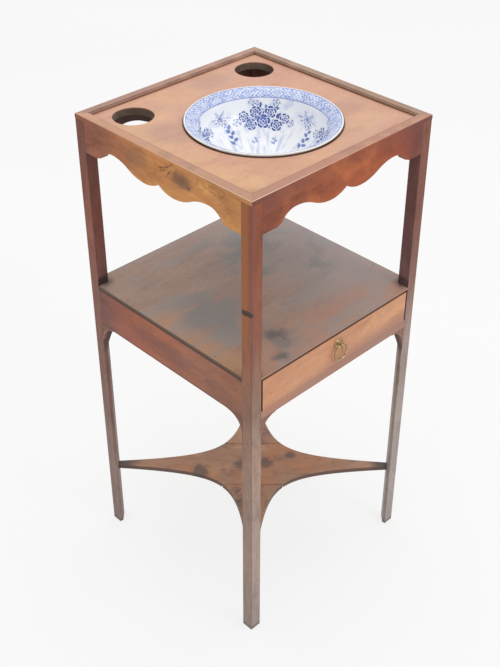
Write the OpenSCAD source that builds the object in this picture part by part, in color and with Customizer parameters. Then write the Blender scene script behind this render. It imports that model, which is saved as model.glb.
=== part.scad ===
// Square mahogany washstand with a pottery bowl let into its top.
// The plan is a square centred on the origin, the floor is z = 0, and the drawer faces -Y.
// Four square legs carry shaped aprons, a lipped top, a shelf over one drawer,
// and a flat cross stretcher of two shaped boards halved together.

/* [Stand] */
// Side of the square plan, over the legs
stand_w = 350; // [320:1:380]
// Height to the top of the lip
stand_h = 782; // [740:1:820]

/* [Legs] */
// Side of a leg
leg_w = 18.8; // [18:0.1:23]
// Width taken off the inner corner of a leg, below the drawer
leg_chamfer = 12.8; // [9:0.1:13.6]
// Rounding of the outer arris of a leg
leg_arris = 1.4; // [0.6:0.1:2]

/* [Top] */
// Width of the raised lip round the top
lip_w = 15.5; // [14.5:0.5:18]
// Thickness of the lip at the outside
lip_t = 7; // [6:0.5:9]
// Height of the lip above the panel
lip_rise = 4.3; // [3.5:0.1:5]
// Radius of the small bead along the inner edge of the lip
lip_bead = 0.9; // [0.6:0.1:1.1]
// Thickness of the top panel
panel_t = 12; // [9:0.5:14]
// Radius of the two holes for a beaker and a soap cup
cup_hole_r = 29.5; // [24:0.1:32]
// Distance of those holes from the outer faces
cup_inset = 57.5; // [52:0.5:62]

/* [Aprons] */
// Thickness of an apron
apron_t = 13; // [11:0.5:14]
// Depth of an apron from the top of the lip to its lobes and ears
apron_drop = 54.2; // [52:0.2:64]
// Rise of the two arches above the lobes
arch_rise = 17.5; // [14:0.5:20]
// Distance of an arch's crown from the leg
arch_from_leg = 59.5; // [52:0.5:62]
// Distance of a lobe from the middle of the apron
lobe_from_mid = 29; // [24:0.5:36]
// Radius of the lobe's side that runs up to the middle point
lobe_r = 51; // [44:1:70]
// Radius of the arch's side that runs down to the ear
ear_r = 30; // [26:1:36]
// Length of the flat ear beside the leg
ear_len = 25.5; // [18:0.5:26]
// Height of the little bevel between arch and ear
ear_bevel = 3; // [1.5:0.5:4]

/* [Shelf and rails] */
// Height of the top of the shelf
shelf_top = 503; // [470:1:540]
// Thickness of the shelf
shelf_t = 4.5; // [4:0.5:9]
// Depth of the side and back rails under the shelf
rail_h = 66; // [60:0.5:80]
// Thickness of the side and back rails
rail_t = 13; // [11:0.5:14]
// Distance of the lower edge of the rail under the drawer below the other rails
drawer_rail_drop = 3.5; // [0:0.5:5]
// Height of the rail under the drawer
drawer_rail_h = 14; // [10:0.5:18]
// Front-to-back depth of the rail under the drawer
drawer_rail_d = 40; // [30:1:60]
// Radius of the hollow of a corner bracket
bracket_r = 28; // [20:1:34]
// Thickness left at the two tips of a bracket
bracket_tip = 1.2; // [0.8:0.1:3]
// Width of a drawer runner
runner_w = 22; // [19:0.5:28]
// Height of the guide strip above a runner
guide_h = 12; // [8:0.5:20]
// Height of a drawer stop
stop_h = 4; // [2:0.2:4.4]
// Radius of the pins that hold the shelf
pin_r = 0.9; // [0.7:0.1:1.3]
// Length of a shelf pin
pin_len = 24; // [16:1:34]
// Distance of a shelf pin from the leg
pin_from_leg = 60; // [30:1:90]

/* [Drawer] */
// Thickness of the drawer front
front_t = 15; // [13:0.5:18]
// Thickness of a drawer side
drawer_side_t = 8; // [6.5:0.5:10]
// Thickness of the drawer back
drawer_back_t = 7; // [6:0.5:10]
// Distance of the top of the drawer back below the sides
back_drop = 3; // [1:0.5:6]
// Thickness of the drawer bottom
bottom_t = 4.5; // [3.5:0.5:6]
// Depth of the grooves that hold the bottom
groove_d = 3.5; // [2.5:0.5:4.5]
// Height of the bottom above the lower edge of the drawer
bottom_lift = 5; // [4.8:0.2:8]
// Gap at each end of the drawer front and above it
drawer_gap = 2.2; // [0.8:0.1:2.5]
// Space behind the closed drawer
drawer_behind = 12; // [6:1:30]
// Thickness of the drawer front left in front of the dovetails
dovetail_lap = 4.5; // [3:0.5:6]
// Number of dovetails at the front of a side
front_tails = 3; // [2:1:4]
// Number of dovetails at the back of a side
back_tails = 2; // [1:1:3]

/* [Ring pull] */
// Radius of the round back plate
rose_r = 8; // [6.5:0.5:11]
// Thickness of the back plate at its middle
rose_t = 1.8; // [1.2:0.1:2.2]
// Radius of the ring to the middle of its wire
ring_r = 12.6; // [10:0.1:15]
// Radius of the ring's wire
wire_r = 1.4; // [1:0.1:1.6]
// Distance of the ring's pivot from the drawer front
pull_stand = 6.3; // [5.5:0.1:8]
// Height of the pivot above the middle of the drawer front
pull_lift = 10; // [6:0.5:14]
// Radius of the screw through the drawer front
screw_r = 1.8; // [1.4:0.1:2.4]
// Width of the square nut inside the drawer
nut_w = 8; // [7:0.5:11]
// Thickness of the nut
nut_t = 2.6; // [2:0.1:4]

/* [Cross stretcher] */
// Height of the underside of the stretcher
stretcher_z = 121; // [80:0.5:200]
// Thickness of the stretcher
stretcher_t = 8; // [7:0.5:11]
// Distance from the middle to the waist of each hollow side
stretcher_waist = 71.2; // [56:0.2:80]
// Width of an arm where it meets its leg
arm_w = 9.6; // [8:0.2:13]
// Length of the tenons at the ends of the arms
arm_tenon = 6; // [3:0.5:8]

/* [Bowl] */
// Outer radius of the bowl's rim
bowl_r = 110; // [104:0.5:114]
// Width of the sloping rim, from its edge to the mouth
rim_w = 18; // [14:0.5:22]
// Slope of the rim down to the mouth, in degrees
rim_slope = 24; // [16:1:32]
// Thickness of the rim's edge
rim_t = 2.6; // [2:0.1:3.2]
// Height of the rim above the top panel
rim_h = 4.2; // [3.8:0.1:5]
// Depth of the bowl from rim to foot
bowl_h = 94; // [80:1:120]
// Thickness of the bowl's wall
bowl_wall = 4.5; // [3.5:0.1:6]
// Radius of the hollow under the rim, where it turns down into the wall
shoulder_r = 3.5; // [2:0.5:6]
// Radius of the foot ring
foot_r = 46; // [36:0.5:56]
// Height of the bowl's underside above the bottom of the foot ring
foot_h = 3.6; // [2.4:0.2:6]
// Width of the foot ring's bottom
foot_w = 6; // [4:0.5:10]
// Distance of the bowl's centre in front of the stand's centre
bowl_forward = 20; // [16:0.5:24]

/* [Hidden] */

$fn = 96;
// Play left in a glued joint, all round
slack = 0.05;
// Clearance between pieces that move on each other
play = 0.3;
// Length by which a cutting solid runs past the face that it cuts
over = 1;

// Distances from the centre: outer faces, and inner faces of the legs
half = stand_w / 2;
inner = half - leg_w;

// Heights of the top
frame_top = stand_h - lip_t;
panel_top = stand_h - lip_rise;
panel_z = panel_top - panel_t;
panel_half = half - apron_t - slack;
apron_z = stand_h - apron_drop;

// Heights of the shelf and the drawer opening
shelf_z = shelf_top - shelf_t;
rail_z = shelf_z - rail_h;
drawer_rail_z = rail_z - drawer_rail_drop;
opening_z = drawer_rail_z + drawer_rail_h;

// Tenons of the rails and aprons: thickness, shoulder above and below, and length
tenon_t = 5;
tenon_shoulder = 7;
rail_tenon = leg_w - (max(rail_t, apron_t) + tenon_t) / 2 - 1;
drawer_rail_shoulder = 3;
drawer_rail_tenon_d = 8;
drawer_tenon_in = 3.5;
arm_tenon_w = arm_w * 0.6;

// Corner brackets fit between the outer face and the leg's chamfer
bracket_t = leg_w - leg_chamfer;
bracket_w = bracket_r + bracket_tip;

// Drawer: outer half width, heights and the ends of its box
drawer_half = inner - drawer_gap;
drawer_z = opening_z + play;
drawer_h = shelf_z - drawer_gap - drawer_z;
drawer_front_y = -half;
box_front_y = drawer_front_y + front_t;
box_back_y = half - rail_t - drawer_behind;
bottom_z = drawer_z + bottom_lift;
drawer_back_z = bottom_z + bottom_t;
drawer_back_h = drawer_h - bottom_lift - bottom_t - back_drop;
dovetail_slope = 1 / 6;
dovetail_pin = 3;
dovetail_end_pin = 4;

// Ring pull: height of the pivot and sizes of the eye
pull_z = drawer_z + drawer_h / 2 + pull_lift;
pull_y = drawer_front_y - pull_stand;
eye_bore_r = wire_r + 0.35;
eye_r = eye_bore_r + 1.05;
eye_w = 3.6;
screw_end = 1;

// Cross stretcher: reach of an arm along its diagonal, and the hollow sides' curve
arm_reach = (inner + leg_chamfer / 2) * sqrt(2);
curve_end = (arm_reach - arm_w / 2) / sqrt(2);
curve_out = (arm_reach + arm_w / 2) / sqrt(2);
curve_slope = (curve_out * curve_out - stretcher_waist * stretcher_waist) / (curve_end * curve_end);
lap_half = stretcher_waist / sqrt(2);

// Bowl: heights, radii of its wall, and the slope of the rim's underside, which thins the rim outwards
rim_z = panel_top + rim_h;
bowl_z = rim_z - bowl_h;
body_foot_z = bowl_z + foot_h;
mouth_r = bowl_r - rim_w;
wall_r = mouth_r + bowl_wall;
under_slope = atan(tan(rim_slope) + (bowl_wall - rim_t) / rim_w);
edge_r = bowl_r - rim_t / 2;
edge_z = rim_z - rim_t / 2;
shoulder_x = wall_r + shoulder_r;
shoulder_in = edge_r - shoulder_x;
mouth_z = edge_z - shoulder_in * tan(rim_slope) - (shoulder_r + bowl_wall - rim_t / 2) / cos(rim_slope);
wall_z = edge_z - shoulder_in * tan(under_slope) - (shoulder_r + rim_t / 2) / cos(under_slope);

// The bowl's hole, whose edge the sloping underside of the rim clears by the play
bowl_hole_r = edge_r - (edge_z - panel_top - (rim_t / 2 + play) / cos(under_slope)) / tan(under_slope);

// Finishes
mahogany = [0.50, 0.30, 0.19];
gold_mahogany = [0.66, 0.44, 0.24];
red_mahogany = [0.60, 0.33, 0.20];
faded_mahogany = [0.80, 0.60, 0.47];
shelf_mahogany = [0.56, 0.46, 0.40];
drawer_mahogany = [0.76, 0.53, 0.39];
oak = [0.70, 0.58, 0.42];
iron = [0.25, 0.24, 0.24];
brass = [0.74, 0.62, 0.40];
pottery = [0.88, 0.91, 0.95];

// Points along an arc, from one angle to another
function arc(cx, cy, r, from, to, steps = 12) =
    [for (i = [0:steps]) let (a = from + (to - from) * i / steps) [cx + r * cos(a), cy + r * sin(a)]];

function mirrored(points) = [for (i = [len(points) - 1:-1:0]) [-points[i].x, points[i].y]];

// Side k, with 0 the front, 1 the right, 2 the back and 3 the left:
// x runs along the side, y runs inwards from the outer face
module on_side(k) {
    rotate([0, 0, 90 * k])
        translate([0, -half, 0])
            children();
}

// Corner k, with 0 the front left, 1 the front right, 2 the back right and 3 the back left:
// x and y run inwards from the outer faces
module on_corner(k) {
    rotate([0, 0, 90 * k])
        translate([-half, -half, 0])
            children();
}

// A box from one corner to the opposite one
module block(low, high) {
    translate(low)
        cube(high - low);
}

// An outline in x and z, given thickness from y = 0 inwards
module upright(thickness) {
    translate([0, thickness, 0])
        rotate([90, 0, 0])
            linear_extrude(height = thickness)
                children();
}

// The pair of tenons at the ends of a board of thickness t that stands between two legs
module board_tenons(t, low, high, grow = 0) {
    for (s = [0, 1])
        mirror([s, 0, 0])
            block([inner - over, (t - tenon_t) / 2 - grow, low - grow],
                  [inner + rail_tenon + grow, (t + tenon_t) / 2 + grow, high + grow]);
}

module apron_tenons(grow = 0) {
    board_tenons(apron_t, apron_z + tenon_shoulder, frame_top - tenon_shoulder, grow);
}

module rail_tenons(grow = 0) {
    board_tenons(rail_t, rail_z + tenon_shoulder, shelf_z - tenon_shoulder, grow);
}

module drawer_rail_tenons(grow = 0) {
    for (s = [0, 1])
        mirror([s, 0, 0])
            block([inner - over, drawer_tenon_in - grow, drawer_rail_z + drawer_rail_shoulder - grow],
                  [inner + rail_tenon + grow, drawer_tenon_in + drawer_rail_tenon_d + grow,
                   opening_z - drawer_rail_shoulder + grow]);
}

// Tenons at both ends of the stretcher arm that lies along a diagonal
module arm_tenons(turn, grow = 0) {
    low = stretcher_z + stretcher_t / 4;
    for (s = [0, 180])
        rotate([0, 0, turn + s])
            block([arm_reach - over, -arm_tenon_w / 2 - grow, low - grow],
                  [arm_reach + arm_tenon + grow, arm_tenon_w / 2 + grow, low + stretcher_t / 2 + grow]);
}

// A leg: square, with its outer arris rounded and its inner corner taken off below the drawer
module leg(k) {
    difference() {
        on_corner(k)
            difference() {
                cube([leg_w, leg_w, frame_top]);
                translate([0, 0, -over])
                    linear_extrude(height = stand_h + 2 * over)
                        difference() {
                            translate([-over, -over])
                                square(leg_arris + over);
                            translate([leg_arris, leg_arris])
                                circle(leg_arris, $fn = 32);
                        }
                translate([0, 0, -over])
                    linear_extrude(height = drawer_rail_z + over)
                        polygon([
                            [leg_w + over, leg_w - leg_chamfer - over],
                            [leg_w + over, leg_w + over],
                            [leg_w - leg_chamfer - over, leg_w + over]
                        ]);
            }
        for (side = [0:3])
            on_side(side)
                apron_tenons(slack);
        for (side = [1:3])
            on_side(side)
                rail_tenons(slack);
        on_side(0)
            drawer_rail_tenons(slack);
        for (turn = [45, 135])
            arm_tenons(turn, slack);
        panel_blank(slack);
    }
}

// Half of the apron's lower edge, from the point in the middle out to the leg
apron_half_edge = let (
    crown_x = inner - arch_from_leg,
    crown_z = apron_z + arch_rise,
    run = crown_x - lobe_from_mid,
    ogee_r = (run * run + arch_rise * arch_rise) / (4 * arch_rise),
    ogee_turn = asin(run / 2 / ogee_r),
    mid_turn = asin(lobe_from_mid / lobe_r),
    ear_turn = asin((apron_z + ear_bevel - crown_z + ear_r) / ear_r)
) concat(
    arc(lobe_from_mid, apron_z + lobe_r, lobe_r, 270 - mid_turn, 270),
    arc(lobe_from_mid, apron_z + ogee_r, ogee_r, 270 + ogee_turn / 8, 270 + ogee_turn, 7),
    arc(crown_x, crown_z - ogee_r, ogee_r, 90 + ogee_turn * 7 / 8, 90, 7),
    arc(crown_x, crown_z - ear_r, ear_r, 90 - (90 - ear_turn) / 12, ear_turn, 11),
    [[inner - ear_len, apron_z], [inner, apron_z]]
);

module apron(k) {
    on_side(k) {
        upright(apron_t)
            polygon(concat(apron_half_edge, [[inner, frame_top], [-inner, frame_top]],
                           mirrored([for (i = [1:len(apron_half_edge) - 1]) apron_half_edge[i]])));
        apron_tenons();
    }
}

// The lip's section: x inwards from the outer face, y up from the apron's top,
// with a bead and a quirk on the inner edge and a rebate over the panel
lip_section = let (
    quirk = 0.6,
    seat = lip_t - lip_rise,
    bead_x = lip_w - lip_bead
) concat(
    [[0, 0]],
    arc(leg_arris, lip_t - leg_arris, leg_arris, 180, 90, 6),
    [[bead_x - quirk, lip_t], [bead_x - quirk, lip_t - quirk], [bead_x, lip_t - quirk]],
    arc(bead_x, lip_t - quirk - lip_bead, lip_bead, 75, -90, 8),
    [[bead_x, seat], [apron_t, seat], [apron_t, 0]]
);

// One side of the lip, mitred at both ends
module lip(k) {
    on_side(k)
        intersection() {
            translate([-half, 0, frame_top])
                rotate([90, 0, 90])
                    linear_extrude(height = stand_w)
                        polygon(lip_section);
            linear_extrude(height = stand_h + over)
                polygon([[-half, 0], [half, 0], [half - lip_w - over, lip_w + over], [-half + lip_w + over, lip_w + over]]);
        }
}

module panel_blank(grow = 0) {
    block([-panel_half - grow, -panel_half - grow, panel_z - grow],
          [panel_half + grow, panel_half + grow, panel_top + grow]);
}

// Top panel, with the bowl's hole forward of the middle and the cup holes at the back corners
module top_panel() {
    color(faded_mahogany)
        difference() {
            panel_blank();
            translate([0, -bowl_forward, panel_z - over])
                cylinder(r = bowl_hole_r, h = panel_t + 2 * over);
            for (s = [-1, 1])
                translate([s * (half - cup_inset), half - cup_inset, panel_z - over])
                    cylinder(r = cup_hole_r, h = panel_t + 2 * over);
        }
}

// Glue blocks rubbed into the angle between aprons and panel, two to a side
module top_blocks() {
    block_l = 36;
    block_w = 10;
    color(oak)
        for (k = [0:3])
            on_side(k)
                for (s = [-1, 1])
                    translate([s * (lobe_from_mid + block_l / 2), apron_t, panel_z - block_w])
                        rotate([90, 0, 90])
                            linear_extrude(height = block_l, center = true)
                                polygon([[0, 0], [block_w * 0.4, 0], [block_w, block_w * 0.6], [block_w, block_w], [0, block_w]]);
}

// Shelf, notched round the legs and flush with their outer faces
module shelf() {
    color(shelf_mahogany)
        difference() {
            block([-half, -half, shelf_z], [half, half, shelf_top]);
            for (k = [0:3])
                on_corner(k)
                    translate([-over, -over, shelf_z - over])
                        cube([leg_w + slack + over, leg_w + slack + over, shelf_t + 2 * over]);
            shelf_pin_set(slack);
        }
}

// Pins driven through the shelf into the side and back rails, with their heads flush
module shelf_pin_set(grow = 0) {
    for (k = [1:3])
        on_side(k)
            for (s = [-1, 1])
                translate([s * (inner - pin_from_leg), rail_t / 2, shelf_top - pin_len - grow])
                    cylinder(r = pin_r + grow, h = pin_len + 2 * grow, $fn = 24);
}

module shelf_pins() {
    color(iron)
        shelf_pin_set();
}

// Deep rail at a side or the back, tenoned between the legs under the shelf
module rail(k) {
    difference() {
        on_side(k) {
            block([-inner, 0, rail_z], [inner, rail_t, shelf_z]);
            rail_tenons();
        }
        shelf_pin_set(slack);
    }
}

// Rail under the drawer
module drawer_rail() {
    color(drawer_mahogany)
        on_side(0) {
            block([-inner, 0, drawer_rail_z], [inner, drawer_rail_d, opening_z]);
            drawer_rail_tenons();
        }
}

// Hollow bracket in the angle of leg and rail, at the left (-1) or right (1) end of side k
module bracket(k, end) {
    on_side(k)
        translate([end * inner, 0, k == 0 ? drawer_rail_z : rail_z])
            mirror([end > 0 ? 1 : 0, 0, 0])
                upright(bracket_t)
                    difference() {
                        translate([0, -bracket_w])
                            square(bracket_w);
                        translate([bracket_w, -bracket_w])
                            circle(bracket_r);
                    }
}

// Runner along a side rail, its top level with the drawer rail, notched round the back leg
module runner(s) {
    color(oak)
        mirror([s > 0 ? 1 : 0, 0, 0])
            difference() {
                block([rail_t - half, drawer_rail_d - half, rail_z],
                      [rail_t - half + runner_w, half - rail_t, opening_z]);
                block([-half, inner - slack, rail_z - over], [slack - inner, half, opening_z + over]);
            }
}

// Guide that fills the space between side rail and drawer
module guide(s) {
    color(oak)
        mirror([s > 0 ? 1 : 0, 0, 0])
            block([rail_t - half, slack - inner, opening_z], [-inner, inner - slack, opening_z + guide_h]);
}

// Two blocks on the drawer rail that the drawer front closes against
module drawer_stops() {
    stop_l = 25;
    stop_w = 10;
    stop_from_leg = 72;
    color(oak)
        for (s = [-1, 1])
            translate([s * (inner - stop_from_leg) - stop_l / 2, box_front_y + play, opening_z])
                cube([stop_l, stop_w, stop_h]);
}

// Plan of one stretcher board along x: each hollow side is a hyperbola from waist to arm
arm_edge = [for (i = [0:24]) let (a = curve_end * i / 24, out = sqrt(stretcher_waist * stretcher_waist + curve_slope * a * a))
    [(out + a) / sqrt(2), (out - a) / sqrt(2)]];

module stretcher_board(turn) {
    rotate([0, 0, turn])
        translate([0, 0, stretcher_z])
            linear_extrude(height = stretcher_t)
                polygon(concat(arm_edge, [for (p = mirrored(arm_edge)) [-p.x, -p.y]],
                               [for (p = arm_edge) -p], mirrored(arm_edge)));
    arm_tenons(turn);
}

// The square in which the two boards cross, from one height to another
module lap(low, high) {
    rotate([0, 0, 45])
        block([-lap_half - over, -lap_half - over, low], [lap_half + over, lap_half + over, high]);
}

// The boards are halved where they cross: one keeps its upper half, the other its lower half
module stretcher_upper() {
    color(red_mahogany)
        difference() {
            stretcher_board(135);
            lap(stretcher_z - over, stretcher_z + stretcher_t / 2 + slack / 2);
        }
}

module stretcher_lower() {
    color(red_mahogany)
        difference() {
            stretcher_board(45);
            lap(stretcher_z + stretcher_t / 2 - slack / 2, stretcher_z + stretcher_t + over);
        }
}

// Outlines of a row of dovetails in y and z: roots at y = 0, tips at y = tail_l
module dovetails(low, high, count, tail_l, grow = 0) {
    tip_w = (high - low - 2 * dovetail_end_pin - (count - 1) * dovetail_pin) / count;
    root_w = tip_w - 2 * dovetail_slope * tail_l;
    for (i = [0:count - 1]) {
        mid = low + dovetail_end_pin + tip_w / 2 + i * (tip_w + dovetail_pin);
        polygon([
            [-slack, mid - root_w / 2 - grow], [tail_l + grow, mid - tip_w / 2 - grow],
            [tail_l + grow, mid + tip_w / 2 + grow], [-slack, mid + root_w / 2 + grow]
        ]);
    }
}

// An outline in y and z, given thickness from x = 0 towards +x
module sideways(thickness) {
    rotate([90, 0, 90])
        linear_extrude(height = thickness)
            children();
}

// Tails of both sides where they enter the drawer front, and where they pass through the back
module front_tail_set(grow = 0) {
    for (s = [0, 1])
        mirror([s, 0, 0])
            translate([-drawer_half - grow, box_front_y, 0])
                sideways(drawer_side_t + 2 * grow)
                    mirror([1, 0])
                        dovetails(drawer_z, drawer_z + drawer_h, front_tails, front_t - dovetail_lap, grow);
}

module back_tail_set(grow = 0) {
    for (s = [0, 1])
        mirror([s, 0, 0])
            translate([-drawer_half - grow, box_back_y - drawer_back_t, 0])
                sideways(drawer_side_t + 2 * grow)
                    dovetails(drawer_back_z, drawer_back_z + drawer_back_h, back_tails, drawer_back_t, grow);
}

// Bottom board, let into grooves in the front and sides and nailed up under the back
module bottom_board(grow = 0) {
    reach = drawer_half - drawer_side_t;
    block([-reach - groove_d - grow, box_front_y + slack, bottom_z - grow],
          [reach + groove_d + grow, box_back_y + grow, bottom_z + bottom_t + grow]);
    block([slack - reach, box_front_y - groove_d - grow, bottom_z - grow],
          [reach - slack, box_front_y + 2 * slack, bottom_z + bottom_t + grow]);
}

module drawer_front() {
    color(drawer_mahogany)
        difference() {
            block([-drawer_half, drawer_front_y, drawer_z], [drawer_half, box_front_y, drawer_z + drawer_h]);
            front_tail_set(slack);
            bottom_board(slack);
            pull_screw(slack);
        }
}

// A side: its front tails lap into the drawer front and its back tails pass through the back
module drawer_side(s) {
    color(oak)
        difference() {
            union() {
                mirror([s > 0 ? 1 : 0, 0, 0]) {
                    block([-drawer_half, box_front_y, drawer_z],
                          [drawer_side_t - drawer_half, box_back_y - drawer_back_t, drawer_z + drawer_h]);
                    block([-drawer_half, box_back_y - drawer_back_t - slack, drawer_z],
                          [drawer_side_t - drawer_half, box_back_y, drawer_back_z - slack]);
                }
                intersection() {
                    union() {
                        front_tail_set();
                        back_tail_set();
                    }
                    block([s < 0 ? -half : 0, -half, 0], [s < 0 ? 0 : half, half, stand_h]);
                }
            }
            bottom_board(slack);
        }
}

module drawer_back() {
    color(oak)
        difference() {
            block([-drawer_half, box_back_y - drawer_back_t + slack, drawer_back_z + slack],
                  [drawer_half, box_back_y, drawer_back_z + drawer_back_h]);
            back_tail_set(slack);
            bottom_nail_set(slack);
        }
}

module drawer_bottom() {
    color(oak)
        difference() {
            bottom_board();
            bottom_nail_set(slack);
        }
}

// Nails up through the bottom into the drawer back
module bottom_nail_set(grow = 0) {
    nail_from_side = 46;
    for (s = [-1, 0, 1])
        translate([s * (drawer_half - nail_from_side), box_back_y - drawer_back_t / 2, bottom_z - grow])
            cylinder(r = pin_r + grow, h = bottom_t + drawer_back_h / 2 + 2 * grow, $fn = 24);
}

module bottom_nails() {
    color(iron)
        bottom_nail_set();
}

// Screw of the pull, from inside the eye's neck to behind the nut
module pull_screw(grow = 0) {
    translate([0, box_front_y + nut_t + screw_end, pull_z])
        rotate([90, 0, 0])
            cylinder(r = screw_r + grow, h = screw_end + nut_t + front_t + rose_t + 2 * slack, $fn = 48);
}

// Round back plate with a raised rim, domed towards the middle
module pull_rose() {
    rose_edge = 0.55;
    rose_rim = 1.6;
    color(brass)
        difference() {
            translate([0, drawer_front_y, pull_z])
                rotate([90, 0, 0])
                    rotate_extrude()
                        polygon([[0, 0], [rose_r, 0], [rose_r, rose_edge], [rose_r - rose_rim / 2, 2 * rose_edge],
                                 [rose_r - rose_rim, 1.4 * rose_edge], [rose_r / 2, rose_t - rose_edge / 3],
                                 [rose_r / 3, rose_t], [0, rose_t]]);
            pull_screw(slack);
        }
}

// Eye on its neck and screw: the ring hangs in the eye's cross bore
module pull_eye() {
    neck = pull_stand - rose_t;
    collar_r = screw_r + 1.2;
    collar_t = 0.6;
    color(brass)
        difference() {
            union() {
                pull_screw();
                translate([0, drawer_front_y - rose_t - slack, pull_z])
                    rotate([90, 0, 0])
                        rotate_extrude($fn = 48)
                            polygon([[0, 0], [collar_r, 0], [collar_r, collar_t], [screw_r, 2 * collar_t],
                                     [screw_r * 0.85, neck - slack], [0, neck - slack]]);
                translate([0, pull_y, pull_z])
                    rotate([0, 90, 0])
                        cylinder(r = eye_r, h = eye_w, center = true, $fn = 48);
            }
            translate([0, pull_y, pull_z])
                rotate([0, 90, 0])
                    cylinder(r = eye_bore_r, h = eye_w + 2 * over, center = true, $fn = 48);
        }
}

module pull_nut() {
    color(brass)
        difference() {
            translate([-nut_w / 2, box_front_y, pull_z - nut_w / 2])
                cube([nut_w, nut_t, nut_w]);
            pull_screw(slack);
        }
}

// The ring hangs from the eye, its plane parallel to the drawer front
module pull_ring() {
    color(brass)
        translate([0, pull_y, pull_z - ring_r])
            rotate([90, 0, 0])
                rotate_extrude()
                    translate([ring_r, 0])
                        circle(wire_r, $fn = 32);
}

// Points down an elliptical wall: r at the mouth, falling to depth d below height z at the middle
function bowl_wall_curve(r, z, d, steps = 20) =
    [for (i = [0:steps]) let (a = 90 * i / steps) [r * cos(a), z - d * sin(a)]];

// Height of the outside of the bowl's wall at a radius
function outside_z(r) = wall_z - (wall_z - body_foot_z) * sqrt(1 - r * r / wall_r / wall_r);

// Section of the bowl: round the rim's edge, down the outside, and back up the inside
bowl_section = concat(
    arc(edge_r, edge_z, rim_t / 2, 90 + rim_slope, under_slope - 90, 10),
    arc(shoulder_x, wall_z, shoulder_r, 90 + under_slope, 180, 6),
    [for (i = [1:20]) bowl_wall_curve(wall_r, wall_z, wall_z - body_foot_z)[i]],
    [for (i = [20:-1:1]) bowl_wall_curve(mouth_r, mouth_z, mouth_z - body_foot_z - bowl_wall)[i]],
    arc(shoulder_x, mouth_z, shoulder_r + bowl_wall, 180, 90 + rim_slope, 6)
);

// Bowl: a thin sloping rim over the edge of its hole, a full wall, and a turned foot ring
// whose root is let into the wall
module bowl() {
    foot_in = foot_r - foot_w * 1.25;
    foot_out = foot_r + foot_w * 0.25;
    root = bowl_wall / 3;
    color(pottery)
        translate([0, -bowl_forward, 0]) {
            rotate_extrude()
                polygon(bowl_section);
            rotate_extrude()
                polygon([[foot_r - foot_w, bowl_z], [foot_r, bowl_z],
                         [foot_out, outside_z(foot_out) + root], [foot_in, outside_z(foot_in) + root]]);
        }
}

color(mahogany) leg(0);  // leg_front_left
color(mahogany) leg(1);  // leg_front_right
color(mahogany) leg(2);  // leg_back_right
color(mahogany) leg(3);  // leg_back_left
color(red_mahogany) apron(0);  // apron_front
color(red_mahogany) apron(1);  // apron_right
color(red_mahogany) apron(2);  // apron_back
color(gold_mahogany) apron(3);  // apron_left
color(faded_mahogany) lip(0);  // lip_front
color(faded_mahogany) lip(1);  // lip_right
color(faded_mahogany) lip(2);  // lip_back
color(faded_mahogany) lip(3);  // lip_left
top_panel();
top_blocks();
shelf();
shelf_pins();
color(red_mahogany) rail(1);  // rail_right
color(red_mahogany) rail(2);  // rail_back
color(red_mahogany) rail(3);  // rail_left
drawer_rail();
color(mahogany) bracket(0, -1);  // bracket_front_left
color(mahogany) bracket(0, 1);  // bracket_front_right
color(mahogany) bracket(1, -1);  // bracket_right_front
color(mahogany) bracket(1, 1);  // bracket_right_back
color(mahogany) bracket(2, -1);  // bracket_back_right
color(mahogany) bracket(2, 1);  // bracket_back_left
color(mahogany) bracket(3, -1);  // bracket_left_back
color(mahogany) bracket(3, 1);  // bracket_left_front
runner(-1);  // runner_left
runner(1);  // runner_right
guide(-1);  // guide_left
guide(1);  // guide_right
drawer_stops();
stretcher_upper();
stretcher_lower();
drawer_front();
drawer_side(-1);  // drawer_side_left
drawer_side(1);  // drawer_side_right
drawer_back();
drawer_bottom();
bottom_nails();
pull_rose();
pull_eye();
pull_nut();
pull_ring();
bowl();
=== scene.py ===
import bpy
import math
import numpy as np
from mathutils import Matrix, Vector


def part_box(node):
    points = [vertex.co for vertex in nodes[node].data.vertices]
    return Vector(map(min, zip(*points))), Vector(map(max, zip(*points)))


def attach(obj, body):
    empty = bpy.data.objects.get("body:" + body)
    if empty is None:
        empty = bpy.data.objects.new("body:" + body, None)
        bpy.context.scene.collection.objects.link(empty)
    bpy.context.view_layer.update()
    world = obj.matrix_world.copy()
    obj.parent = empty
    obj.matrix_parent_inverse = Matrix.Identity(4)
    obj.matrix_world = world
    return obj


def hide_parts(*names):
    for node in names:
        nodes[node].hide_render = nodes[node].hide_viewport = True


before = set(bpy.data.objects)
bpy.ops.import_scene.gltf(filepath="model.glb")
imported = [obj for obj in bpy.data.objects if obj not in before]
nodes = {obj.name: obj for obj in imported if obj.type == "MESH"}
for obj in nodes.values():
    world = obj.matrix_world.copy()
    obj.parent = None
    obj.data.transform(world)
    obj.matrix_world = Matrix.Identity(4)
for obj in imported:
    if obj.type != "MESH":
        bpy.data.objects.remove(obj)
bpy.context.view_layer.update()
bpy.ops.object.select_all(action="DESELECT")

# Camera: it stands off the near left corner, at shoulder height, and looks down at the stand.
# The picture is cropped low, so the lens is shifted a little.
LOOK_ROUND = 44.443
LOOK_DOWN = 34.513
bpy.ops.object.camera_add(
    location=(-0.97544, -0.98797, 1.42356),
    rotation=(math.radians(90 - LOOK_DOWN), 0, math.radians(-LOOK_ROUND)),
)
camera = bpy.context.object
camera.name = "camera"
camera.data.sensor_width = 36
camera.data.lens = 58.948
camera.data.shift_y = -0.04945
camera.data.clip_start = 0.01
camera.data.clip_end = 60
bpy.context.scene.camera = camera
bpy.context.scene.view_settings.view_transform = "Standard"


# Floor: a sheet of white studio paper that runs on out of view on every side.
# It takes the feet's soft shadows, and the room around it is white.
def srgb(red, green, blue):
    """A colour as it is read off a picture, 0 to 255, made into light."""
    parts = [c / 255 for c in (red, green, blue)]
    return tuple(c / 12.92 if c <= 0.04045 else ((c + 0.055) / 1.055) ** 2.4 for c in parts) + (1,)


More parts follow.
